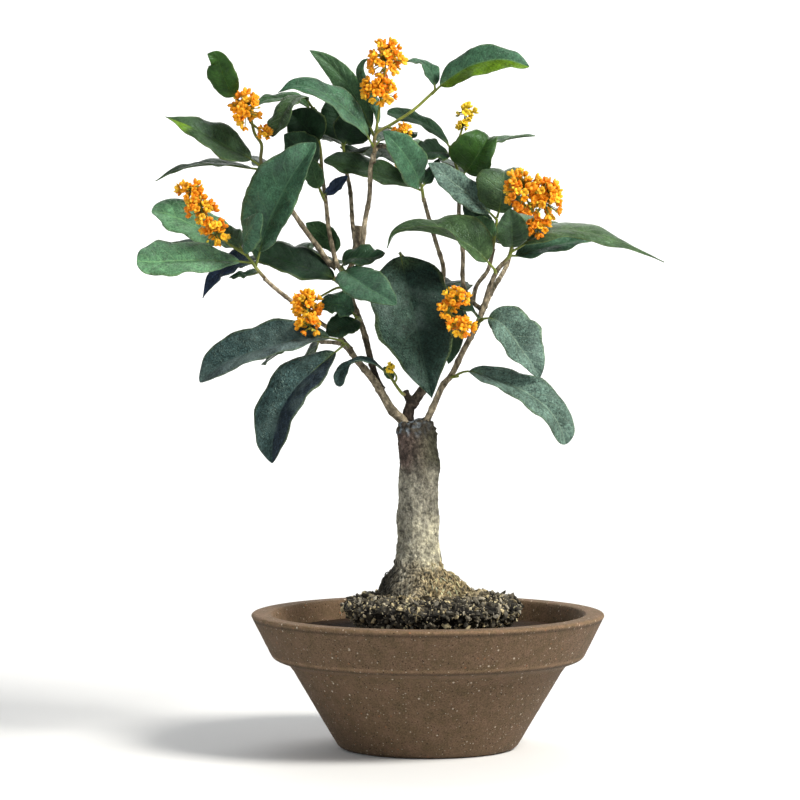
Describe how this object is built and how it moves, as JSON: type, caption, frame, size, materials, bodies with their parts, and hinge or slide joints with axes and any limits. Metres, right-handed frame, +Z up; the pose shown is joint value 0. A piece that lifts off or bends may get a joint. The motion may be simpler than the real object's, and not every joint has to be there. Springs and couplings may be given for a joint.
{
  "type": "potted bonsai",
  "caption": "Sweet osmanthus bonsai in a round stoneware bowl, with a thick upright trunk, slim branches, dark leaves and orange flower clusters.",
  "frame": {"origin": "centre of the bowl's flat underside", "axes": "+Z up along the bowl's axis and the trunk, +X to the viewer's right, +Y away from the viewer"},
  "size_m": [0.3654, 0.248, 0.4936],
  "materials": {
    "stoneware": "unglazed, speckled",
    "mesh": "matt",
    "soil": "rough, granular",
    "bark": "rough bark",
    "leaf": "semi-gloss",
    "blossom": "soft matt"
  },
  "bodies": {
    "root": {"bowl": "stoneware", "drain_mesh_left": "mesh", "drain_mesh_right": "mesh", "soil": "soil", "trunk_and_branches": "bark", "shoot_back_left": "leaf", "shoot_back_middle": "leaf", "shoot_centre": "leaf", "shoot_fork": "leaf", "shoot_fork_leaf": "leaf", "shoot_inner_left": "leaf", "shoot_left": "leaf", "shoot_left_cupped": "leaf", "shoot_left_low_dark": "leaf", "shoot_low_left": "leaf", "shoot_low_rear": "leaf", "shoot_middle": "leaf", "shoot_rear_centre": "leaf", "shoot_rear_left": "leaf", "shoot_rear_right": "leaf", "shoot_rear_top": "leaf", "shoot_right_axil": "leaf", "shoot_right_end": "leaf", "shoot_right_low": "leaf", "shoot_right_middle": "leaf", "shoot_right_slim": "leaf", "shoot_stub": "leaf", "shoot_top": "leaf", "shoot_upper_left": "leaf", "shoot_upper_right": "leaf", "flower_bud": "blossom", "flowers_left": "blossom", "flowers_left_inner": "blossom", "flowers_rear_centre": "blossom", "flowers_rear_right": "blossom", "flowers_rear_top": "blossom", "flowers_right": "blossom", "flowers_right_inner": "blossom", "flowers_top": "blossom", "flowers_top_small": "blossom", "flowers_upper_left": "blossom", "flowers_upper_right": "blossom"}
  },
  "joints": []
}
